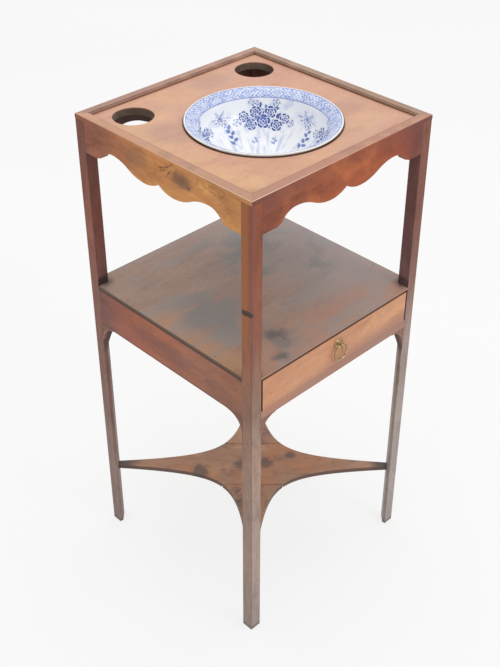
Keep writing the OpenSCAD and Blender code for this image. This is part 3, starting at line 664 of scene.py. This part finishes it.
# Painted shade: the sawn faces in the holes, below the panel's top, are darkened.
sawn = wood.fade(wood.z, panel_top - 0.0007, panel_top - 0.0019)
wood.lay((84, 70, 58), sawn)
wood.lay((104, 84, 72), sawn, wood.fade(wood.noise(40), 0.45, 0.65, 0, 0.8))
# A dark ring round the bowl: painted shadow under the overhang of its rim, with dirt.
from_bowl = wood.vector("DISTANCE", wood.place, (0, BOWL_Y / 1000, panel_top))["Value"]
wood.lay((58, 38, 32), wood.fade(from_bowl, 0.1126, 0.1108, 0, 0.92))
for x in (-CUP_AT, CUP_AT):
    wood.lay((176, 124, 100), wood.fade(wood.near((x, CUP_AT, PANEL_Z), 36), 0.06, 0.2, 0, 0.5))
wood.lay((168, 122, 96), wood.near((-160, -160, PANEL_Z), 38), wood.fade(wash, 0.35, 0.6, 0.2, 0.8))
dress("top_panel", wax(wood, 0.38, 0.16), 0.4)

# Lip: four mitred strips glued on the aprons, with a bead along the inner edge. Their tops
# are bleached and greyed, and black dirt lies in the quirk of the bead. Painted shade darkens the
# bead's wall, most on the back and right strips, and a painted highlight runs along the outer arris.
LIP_TONES = {
    "front": (184, 136, 116), "right": (168, 138, 116), "back": (172, 134, 118), "left": (186, 142, 120),
}
LIP_QUIRK = 0.1613
for side, tone in LIP_TONES.items():
    lip = "lip_" + side
    strip = apron_board(lip + "_wood", side)
    across, along = (strip.y, strip.x) if side in ("front", "back") else (strip.x, strip.y)
    off = strip.off(across)
    inward = strip.fade(off, OUT_FACE - 0.0002, OUT_FACE - 0.0008)
    top = strip.both(inward, strip.fade(strip.z, 0.7775, 0.7785))
    strip.lay(tone, top, 0.9)
    worn = strip.noise(40, 4, 0.6)
    strip.lay((144, 112, 100), top, strip.fade(worn, 0.5, 0.66, 0, 0.4))
    strip.lay((214, 170, 142), top, strip.fade(worn, 0.5, 0.34, 0, 0.35), strip.fade(along, -0.1, 0.1))
    if side == "left":
        strip.lay((204, 156, 122), top, strip.fade(along, -0.06, 0.12, 0, 0.6))
    # Dirt in the quirk, with painted shade on the bead's wall: full on the back and right strips, weaker in
    # front.
    quirk = strip.math("MAXIMUM", strip.line(off, LIP_QUIRK, 0.0003, 0.0006), strip.fade(off, 0.1594, 0.1588))
    far_wall_shade = strip.fade(strip.z, 0.7775, 0.778, 0, 1.0 if side in ("back", "right") else 0.4)
    strip.lay((84, 50, 42), quirk, far_wall_shade, strip.fade(worn, 0.3, 0.6, 0.6, 1.0))
    # A pale hairline along the outer arris: wear, with a painted highlight brighter towards the left and
    # front ends.
    hair = strip.both(strip.line(off, OUT_FACE - 0.0002, 0.0003, 0.0003), strip.fade(strip.z, 0.7808, 0.7815))
    strip.lay((236, 204, 178), hair, strip.fade(along, 0.12, -0.17, 0.2, 1.0))
    dress(lip, wax(strip, 0.38), 0.3)


# Hidden timbers: glue blocks under the top, and the drawer's runners, guides and stops.
# They are plain oak, never polished, dusty and dark with age.
def oak(name, along, shift):
    wood = Finish(name, (170, 138, 100), 0.75)
    fine = wood.stretched(STRETCH[along], (shift, shift, shift))
    ring = wood.noise(120, 4, 0.6, 0.3, where=fine)
    wood.lay((134, 102, 70), wood.fade(ring, 0.5, 0.66, 0, 0.8))
    wood.lay((194, 164, 124), wood.fade(ring, 0.46, 0.3, 0, 0.6))
    pore = wood.fade(wood.noise(1300, 2, 0.5, where=fine), 0.58, 0.68)
    wood.lay((92, 68, 48), pore, 0.5)
    dust = wood.noise(16, 4, 0.6)
    wood.lay((116, 98, 82), wood.fade(dust, 0.45, 0.7, 0, 0.6))
    wood.emboss(pore, -0.08)
    wood.emboss(ring, 0.08)
    return wood.done(wood.fade(dust, 0.3, 0.7, 0.62, 0.82), Specular_IOR_Level=0.3)


oak_x = oak("oak_across", "X", 0.3)
oak_y = oak("oak_lengthwise", "Y", 1.1)
for piece, timber in (
    ("top_blocks", oak_x), ("drawer_stops", oak_x), ("runner_left", oak_y), ("runner_right", oak_y),
    ("guide_left", oak_y), ("guide_right", oak_y),
):
    dress(piece, timber, 0.4)

# Cross stretcher: two boards sawn to hollow curves, halved over each other in the middle
# and tenoned into the legs. Splashes have left dark rings, and the arms' ends are grimed.
arm_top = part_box("stretcher_upper")[1].z
for i, (board, turn) in enumerate((("stretcher_upper", 45), ("stretcher_lower", -45))):
    wood = Finish(board + "_wood", (172, 134, 112))
    grain(wood, "X", 2.9 * i + 6, math.radians(turn), 1.3, 0.3)
    wood.lay((188, 132, 96), wood.fade(wood.cloud, 0.46, 0.68, 0, 0.8))
    blot = wood.noise(34, 4, 0.62, 0.5)
    splashed = wood.fade(wood.noise(50, 3, 0.6, 0.4), 0.64, 0.36, 0.4, 1.15)
    for x, y, radius in (
        (23, 97, 26), (-19, 15, 20), (18, -14, 24), (-76, 50, 30),
        (-63, -24, 16), (-84, -51, 18), (60, -31, 18), (70, 60, 24),
    ):
        ring = wood.both(wood.near((x, y, arm_top * 1000), radius), splashed)
        wood.lay((94, 84, 84), wood.fade(ring, 0.1, 0.8, 0, 0.75))
    wood.lay((116, 100, 98), wood.fade(blot, 0.44, 0.28, 0, 0.65))
    wood.lay((86, 82, 84), wood.fade(wood.hypot(wood.x, wood.y), 0.194, 0.216, 0, 0.85))
    wood.lay((88, 70, 64), wood.fade(wood.z, arm_top - 0.0001, arm_top - 0.0006, 0, 0.85))
    dress(board, wax(wood, 0.44, 0.16))


# Drawer: a mahogany front, oak sides, back and bottom, dovetailed together. The front and
# the rail under it faded to orange tan, and to a pinker brown low down on the right.
def drawer_face(name):
    wood = Finish(name, (204, 148, 112))
    grain(wood, "X", 9.4, figure=0.65, streaks=0.6)
    wood.lay((192, 130, 100), wood.fade(wood.cloud, 0.48, 0.7, 0, 0.5))
    wood.lay((222, 168, 120), wood.fade(wood.cloud, 0.47, 0.28, 0, 0.5))
    slanting = wood.math("SUBTRACT", wood.z, wood.math("MULTIPLY", wood.x, 0.07))
    wood.lay((168, 122, 104), wood.fade(slanting, 0.466, 0.438, 0, 0.85))
    return wood


front_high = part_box("drawer_front")[1]
wood = drawer_face("drawer_front_wood")
# A brown halo round the pull: a handling stain, with the pull's shadow painted into it.
halo = wood.near((0, -OUTER, 478), 17, (1, 1, 0.9))
wood.lay((148, 102, 76), wood.fade(halo, 0.05, 0.6), 0.45)
wood.lay((120, 74, 58), wood.fade(wood.z, front_high.z - 0.0008, front_high.z - 0.0001, 0, 0.6))
# Painted shade, with dirt: the ends of the front are darkened, in the gaps beside the legs.
wood.lay((66, 38, 30), wood.fade(wood.off(wood.x), front_high.x - 0.0004, front_high.x - 0.0001, 0, 0.9))
dress("drawer_front", wax(wood, 0.38), 0.6)
wood = drawer_face("drawer_rail_wood")
wood.lay((158, 122, 108), wood.fade(wood.x, -0.16, 0.1, 0.25, 0.7))
dress("drawer_rail", wax(wood), 0.4)
for part, timber in (("side_left", oak_y), ("side_right", oak_y), ("back", oak_x), ("bottom", oak_x)):
    dress("drawer_" + part, timber, 0.35)

# Ring pull: turned and cast brass. The plate lies on the drawer front, the eye's screw goes
# through it to a square nut, and the ring hangs free in the eye. Handling keeps it bright.
brass = Finish("handled_brass", (178, 152, 108), 0.3)
tarnish = brass.noise(260, 4, 0.6)
brass.lay((136, 106, 66), brass.fade(tarnish, 0.52, 0.7, 0, 0.7))
brass.lay((236, 220, 182), brass.fade(tarnish, 0.47, 0.3, 0, 0.6))
brass.emboss(brass.noise(700), 0.02)
brass.done(brass.fade(tarnish, 0.35, 0.65, 0.22, 0.45), Metallic=1.0)
for piece in ["pull_rose", "pull_eye", "pull_nut", "pull_ring"]:
    dress(piece, brass.material)

# Bowl: thrown pottery under a clear glaze, loose in its hole and hung by its sloping rim.
# Inside it is printed in cobalt before glazing: flower sprays on the wall, a posy in the
# middle, and a netted border over the whole rim.
RIM_R = (bowl_high.x - bowl_low.x) * 500
RIM_Z = bowl_high.z * 1000
FOOT_Z = bowl_low.z * 1000
RIM_W, RIM_T, WALL_T, SHOULDER = 18.0, 2.6, 4.5, 3.5
SLOPE = math.radians(24)
UNDER = math.atan(math.tan(SLOPE) + (WALL_T - RIM_T) / RIM_W)
BASE_Z = FOOT_Z + 3.6
MOUTH_R = RIM_R - RIM_W
WALL_R = MOUTH_R + WALL_T
EDGE_R, EDGE_Z = RIM_R - RIM_T / 2, RIM_Z - RIM_T / 2
TURN_R = WALL_R + SHOULDER
MOUTH_Z = EDGE_Z - (EDGE_R - TURN_R) * math.tan(SLOPE) - (SHOULDER + WALL_T - RIM_T / 2) / math.cos(SLOPE)
WALL_Z = EDGE_Z - (EDGE_R - TURN_R) * math.tan(UNDER) - (SHOULDER + RIM_T / 2) / math.cos(UNDER)


def sweep(across, up, width, height, start, end, count):
    """Points along part of an ellipse about a centre, in mm, from one angle in degrees to another."""
    turn = np.radians(np.linspace(start, end, count))
    return [(across + width * math.cos(a), up + height * math.sin(a)) for a in turn]


foot_in = -math.degrees(math.acos(38.9 / WALL_R))
foot_out = -math.degrees(math.acos(47.4 / WALL_R))
outside = sweep(0, WALL_Z, WALL_R, WALL_Z - BASE_Z, -90, foot_in, 8)
outside += [(39.4, FOOT_Z + 6), (39.7, FOOT_Z + 0.8), (40.5, FOOT_Z)]
outside += [(45.4, FOOT_Z), (46.1, FOOT_Z + 0.7), (46.8, FOOT_Z + 8)]
outside += sweep(0, WALL_Z, WALL_R, WALL_Z - BASE_Z, foot_out, 0, 20)
outside += sweep(TURN_R, WALL_Z, -SHOULDER, SHOULDER, 0, 90 - math.degrees(UNDER), 6)[1:]
outside += sweep(EDGE_R, EDGE_Z, RIM_T / 2, RIM_T / 2, math.degrees(UNDER) - 90, 60, 6)
inside = sweep(EDGE_R, EDGE_Z, RIM_T / 2, RIM_T / 2, 90, 90 + math.degrees(SLOPE), 3)
rim_end = inside[-1]
rim_start = sweep(TURN_R, MOUTH_Z, SHOULDER + WALL_T, SHOULDER + WALL_T, 90 + math.degrees(SLOPE), 180, 9)
inside += [tuple(np.add(rim_end, np.subtract(rim_start[0], rim_end) * k / 16)) for k in range(1, 16)]
inside += rim_start
inside += sweep(0, MOUTH_Z, MOUTH_R, MOUTH_Z - BASE_Z - WALL_T, 180, 270, 116)[1:]
inside = [(abs(r), z) for r, z in inside]
profile = outside + inside

bowl = trace([(r, BOWL_Y, z) for r, z in profile])
bowl.name = "printed_bowl"
bpy.ops.mesh.select_all(action="SELECT")
bpy.ops.mesh.spin(steps=520, angle=2 * math.pi, center=(0, BOWL_Y / 1000, 0), axis=(0, 0, 1))
bpy.ops.mesh.select_all(action="SELECT")
bpy.ops.mesh.remove_doubles(threshold=0.000002)
bpy.ops.mesh.normals_make_consistent()
bpy.ops.object.mode_set(mode="OBJECT")
bpy.ops.object.transform_apply()
bpy.ops.object.shade_smooth()

# The printed side is measured from the middle of the bowl outwards, over the wall and rim:
# each place on it is known by its direction and by its distance along the surface. That
# distance follows from the angle at which the place is seen from a point over the middle.
spots = np.empty(len(bowl.data.vertices) * 3)
bowl.data.vertices.foreach_get("co", spots)
spots = spots.reshape(-1, 3) * 1000
radius = np.hypot(spots[:, 0], spots[:, 1] - BOWL_Y)
around = np.arctan2(spots[:, 1] - BOWL_Y, spots[:, 0])
path = np.array(inside[::-1])
climb = np.concatenate([[0], np.cumsum(np.hypot(*np.diff(path, axis=0).T))])
EYE_Z = RIM_Z + 8
lean = np.arctan2(path[:, 0], EYE_Z - path[:, 1])
far = np.hypot(path[:, 0], EYE_Z - path[:, 1])
tilt = np.arctan2(radius, EYE_Z - spots[:, 2])
off_path = np.abs(np.hypot(radius, EYE_Z - spots[:, 2]) - np.interp(tilt, lean, far))
printed_side = (off_path < 0.3) & (tilt < lean[-1] + 0.0005)
UNPRINTED = 400.0
out = np.where(printed_side, np.interp(tilt, lean, climb), UNPRINTED)
RIM_OUT = climb[-1]

edge = np.full(len(spots), 9.0)
run = np.zeros(len(spots))
cross = np.zeros(len(spots))
ink = np.zeros(len(spots))
twig = np.full(len(spots), 9.0)
GAP = 1.15
POLE = 46


def radius_at(height):
    return float(np.interp(height, climb, path[:, 0]))


def beside(theta, height, across, up):
    """A place on the wall that lies so many mm round and up from another."""
    return theta + across / radius_at(height), height + up


def local(theta, height, reach):
    """The vertices near a place on the wall, with how far round and how far up it each lies, in mm."""
    if height < POLE:
        east = out * np.cos(around) - height * math.cos(theta)
        north = out * np.sin(around) - height * math.sin(theta)
        turn = theta - math.pi / 2
        across = east * math.cos(turn) + north * math.sin(turn)
        up = north * math.cos(turn) - east * math.sin(turn)
    else:
        across = ((around - theta + math.pi) % (2 * math.pi) - math.pi) * radius_at(height)
        up = out - height
    close = np.flatnonzero((np.abs(across) < reach) & (np.abs(up) < reach))
    return close, across[close], up[close]


def stamp(shape, theta, height, heading, length, width, tone):
    """Prints one leaf, petal or dot over what is there, with a white line round it."""
    close, across, up = local(theta, height, length / 2 + 3)
    u = across * math.cos(heading) + up * math.sin(heading)
    v = up * math.cos(heading) - across * math.sin(heading)
    half = length / 2
    if shape == "leaf":
        swell = width / 2 * np.clip(1 - (u / half) ** 2, 0, 1) ** 0.8 * (1 - 0.25 * u / half)
        gap = np.where(np.abs(u) < half, (np.abs(v) - swell) * 0.85, np.hypot(np.abs(u) - half, v))
    else:
        waist = width / 2 * (1 + 0.22 * np.clip(u / half, -1, 1))
        gap = (np.hypot(u / half, v / waist) - 1) * min(half, width / 2)
    edge[close] = np.minimum(np.maximum(edge[close], GAP - gap), gap)
    inner = gap < GAP / 2
    mine = close[inner]
    run[mine] = u[inner]
    cross[mine] = v[inner]
    ink[mine] = tone


def sprig(theta, height, heading, bend, length, size, leaves, tone):
    """A curved stem with leaves by turns on either side; returns its tip and its last heading."""
    pace = max(1, int(length / leaves))
    for k in range(int(length)):
        share = k / length
        way = heading + bend * share
        theta, height = beside(theta, height, math.cos(way), math.sin(way))
        close, across, up = local(theta, height, 2.5)
        twig[close] = np.minimum(twig[close], np.hypot(across, up) - 0.35)
        if k % pace == 2:
            turn = way + (0.95 if (k // pace) % 2 else -0.95)
            half = size * (1 - 0.35 * share) / 2
            leaf = beside(theta, height, half * math.cos(turn), half * math.sin(turn))
            stamp("leaf", *leaf, turn, 2 * half, size * 0.5, tone)
    return theta, height, heading + bend


def bloom(theta, height, size, petals, turn, tone):
    """A full flower: two rings of petals and a dark heart."""
    for far_out, large, start in ((0.62, 0.9, 0.0), (0.32, 0.6, 0.5)):
        for k in range(petals):
            a = turn + 2 * math.pi * (k + start) / petals
            petal = beside(theta, height, far_out * size * math.cos(a), far_out * size * math.sin(a))
            stamp("petal", *petal, a, large * size, large * size, tone - start * 0.4)
    stamp("petal", theta, height, 0, size * 0.36, size * 0.36, 1.0)


STEMS = ((0.2, 34), (0.75, 24), (1.35, 20), (1.95, 21), (2.45, 25), (2.95, 33), (3.7, 20), (-0.6, 20))
BUNCH = ((-25, 2, 5.6), (23, 4, 5.8), (-16, -7, 6.4), (15, -6, 6.2), (-8, 8, 6.6), (9, 8, 6.2), (0, -3, 7.6))


def spray(theta, height, scale, lean):
    """A spray: stems that fan out, with a close bunch of flowers over their root."""
    for k, (way, length) in enumerate(STEMS):
        bend = 0.5 if k % 2 else -0.5
        stem = (way + lean, bend, length * scale, 9.5 * scale, 5, 0.5 + 0.2 * (k % 3))
        tip, top, last = sprig(theta, height, *stem)
        bloom(tip, top, 4.2 * scale, 5, last, 0.8)
    for k, (side, rise, size) in enumerate(BUNCH):
        root = beside(theta, height, side * scale, rise * scale)
        bloom(*root, size * scale, 5 + k % 2, 0.7 * k, 0.7 + 0.1 * (k % 3))


for k in range(4):
    spray(math.radians(45 + 90 * k), 101, scale=1.25, lean=0.0)
    spray(math.radians(90 * k), 110, scale=0.62, lean=0.1)
    tall = {"length": 38, "size": 9, "leaves": 7, "tone": 0.6}
    tip, top, last = sprig(math.radians(90 * k - 6), 66, heading=1.9, bend=-0.9, **tall)
    bloom(tip, top, 5.0, 5, last, 0.7)
    small = {"length": 15, "size": 6, "leaves": 4, "tone": 0.3}
    for drift, way in ((-16, 1.2), (13, 1.9)):
        tip, top, last = sprig(math.radians(90 * k + drift + 45), 62, heading=way, bend=0.7, **small)
        bloom(tip, top, 2.8, 5, last, 0.35)
for k in range(10):
    stamp("leaf", 2 * math.pi * k / 10, 28, math.pi / 2 + 0.7, 12, 5, 0.3 + 0.2 * (k % 2))
for k in range(5):
    stamp("petal", 2 * math.pi * k / 5, 9, math.pi / 2, 12, 10, 0.5)
    stamp("petal", 2 * math.pi * (k + 0.5) / 5, 4.5, math.pi / 2, 7, 6, 0.35)
stamp("petal", 0, 0.01, 0, 5, 5, 0.9)

glaze = Finish("printed_glaze", (251, 252, 253), 0.1)
mm = {}
for name, values in {"edge": edge, "run": run, "cross": cross, "ink": ink, "twig": twig, "out": out}.items():
    layer = bowl.data.attributes.new(name, "FLOAT", "POINT")
    layer.data.foreach_set("value", values.astype(np.float32))
    mm[name] = glaze.new("ShaderNodeAttribute", attribute_name=name).outputs["Fac"]
PALE, SKY, COBALT, NIGHT = (206, 216, 238), (132, 164, 224), (54, 94, 188), (22, 44, 130)
cloudy = glaze.noise(52, 4, 0.6, 0.4)
grit = glaze.noise(620, 3, 0.7)
on_wall = glaze.fade(mm["out"], 300, 200)
from_middle = glaze.math("SUBTRACT", glaze.y, BOWL_Y / 1000)
centred = glaze.new("ShaderNodeCombineXYZ", glaze.x, from_middle).outputs[0]
spoke = glaze.vector("MULTIPLY", glaze.vector("NORMALIZE", centred)[0], (0.2, 0.2, 0.2))[0]
rise = glaze.new("ShaderNodeCombineXYZ", None, None, glaze.math("MULTIPLY", mm["out"], 0.0006)).outputs[0]
trail = glaze.noise(48, 4, 0.6, 0.6, glaze.vector("ADD", spoke, rise)[0])
below = glaze.both(glaze.fade(mm["out"], 100, 74), glaze.fade(mm["out"], 8, 24))
glaze.lay((196, 208, 230), below, glaze.fade(trail, 0.46, 0.64, 0, 0.8))
glaze.lay((160, 178, 216), below, glaze.fade(trail, 0.6, 0.74, 0, 0.5))
glaze.lay(PALE, glaze.fade(cloudy, 0.54, 0.68, 0, 0.7), on_wall)
halo = glaze.both(glaze.fade(mm["edge"], 5, 0.8), glaze.fade(cloudy, 0.38, 0.6, 0.1, 0.8))
glaze.lay(SKY, halo, 0.3)
line = glaze.fade(glaze.math("MULTIPLY_ADD", grit, 0.5, mm["twig"]), 0.6, 0.25)
glaze.lay(COBALT, line, on_wall)
rough_edge = glaze.math("MULTIPLY_ADD", glaze.math("SUBTRACT", grit, 0.5), 0.6, mm["edge"])
printed = glaze.fade(rough_edge, 0.15, -0.15)
glaze.lay(SKY, printed)
across = glaze.off(mm["cross"])
hatch = glaze.math("SINE", glaze.math("MULTIPLY_ADD", across, 1.6, glaze.math("MULTIPLY", mm["run"], 3.6)))
rubbed = glaze.math("MULTIPLY_ADD", hatch, 0.22, glaze.math("MULTIPLY", grit, 0.5))
shade = glaze.math("ADD", mm["ink"], rubbed)
glaze.lay(COBALT, printed, glaze.fade(shade, 0.5, 0.95))
glaze.lay(NIGHT, printed, glaze.fade(shade, 0.8, 1.2, 0, 0.92))
glaze.lay(NIGHT, glaze.line(rough_edge, -0.35, 0.1, 0.3), glaze.fade(mm["ink"], 0.2, 0.6, 0.2, 0.8))
glaze.lay(PALE, glaze.fade(across, 0.34, 0.12), glaze.fade(mm["edge"], -0.5, -0.9), 0.8)

# The border: crossing lines like a net, with small round flowers, between
# a ruled line at the mouth and one near the rim's edge.
NET_H = 9.6
FLOWERS, STRANDS = 28, 98
FLOWER_R, BORDER_R = 4.2, 101
angle = glaze.math("ARCTAN2", from_middle, glaze.x)
up = glaze.math("SUBTRACT", mm["out"], RIM_OUT - NET_H - 0.8)
band = glaze.both(glaze.fade(glaze.off(up), NET_H, NET_H - 0.4), on_wall)
glaze.lay((212, 220, 238), band, 0.9)
mottle = glaze.noise(190, 3, 0.6, 0.5)
glaze.lay(SKY, band, glaze.fade(mottle, 0.48, 0.62, 0, 0.7))
strand = glaze.math("MULTIPLY", angle, STRANDS)
for sign in (1, -1):
    slant = glaze.math("COSINE", glaze.math("MULTIPLY_ADD", up, 0.98 * sign, strand))
    glaze.lay(COBALT, band, glaze.fade(slant, 0.62, 0.96, 0, 0.6), glaze.fade(mottle, 0.35, 0.55, 0.4, 1.0))
glaze.lay(COBALT, band, glaze.fade(grit, 0.56, 0.66, 0, 0.5))
turns = glaze.math("MULTIPLY", angle, FLOWERS / (2 * math.pi))
unit = glaze.math("SUBTRACT", glaze.math("FRACT", turns), 0.5)
side = glaze.math("MULTIPLY", unit, 2 * math.pi * BORDER_R / FLOWERS)
from_heart = glaze.hypot(side, up)
petal_way = glaze.math("COSINE", glaze.math("MULTIPLY", glaze.math("ARCTAN2", up, side), 5.0))
rose = glaze.math("SUBTRACT", from_heart, glaze.math("MULTIPLY_ADD", petal_way, 0.8, FLOWER_R))
glaze.lay((246, 248, 251), band, glaze.fade(rose, 0.4, 0.0))
glaze.lay(COBALT, band, glaze.line(rose, -0.9, 0.4, 0.5))
glaze.lay(COBALT, band, glaze.fade(from_heart, 1.8, 1.2))
for height in (-NET_H, NET_H - 0.9):
    glaze.lay(COBALT, glaze.line(up, height, 0.2, 0.35), on_wall)

# Outside, three ruled rings run round the wall. The rim's edge is rubbed grey by hands and
# by the edge of the hole, and the foot is bare clay.
RINGS = (766.0, 764.0, 706.0)
outer = glaze.math("SUBTRACT", 1.0, on_wall)
for height in RINGS:
    glaze.lay(COBALT, glaze.line(glaze.z, height / 1000, 0.0003, 0.0003), outer)
rim_wear = glaze.both(outer, glaze.fade(glaze.z, RIM_Z / 1000 - 0.0036, RIM_Z / 1000 - 0.0026))
glaze.lay((226, 225, 222), rim_wear, glaze.fade(cloudy, 0.3, 0.6, 0.5, 0.95))
glaze.lay((140, 122, 104), rim_wear, glaze.fade(grit, 0.66, 0.72, 0, 0.4))
glaze.lay((206, 196, 178), glaze.fade(glaze.z, FOOT_Z / 1000 + 0.0008, FOOT_Z / 1000))
glaze.emboss(glaze.noise(30, 2, 0.5), 0.15)
bowl.data.materials.append(glaze.done(glaze.fade(cloudy, 0.3, 0.7, 0.08, 0.16), Specular_IOR_Level=0.5))
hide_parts("bowl")
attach(bowl, "bowl")
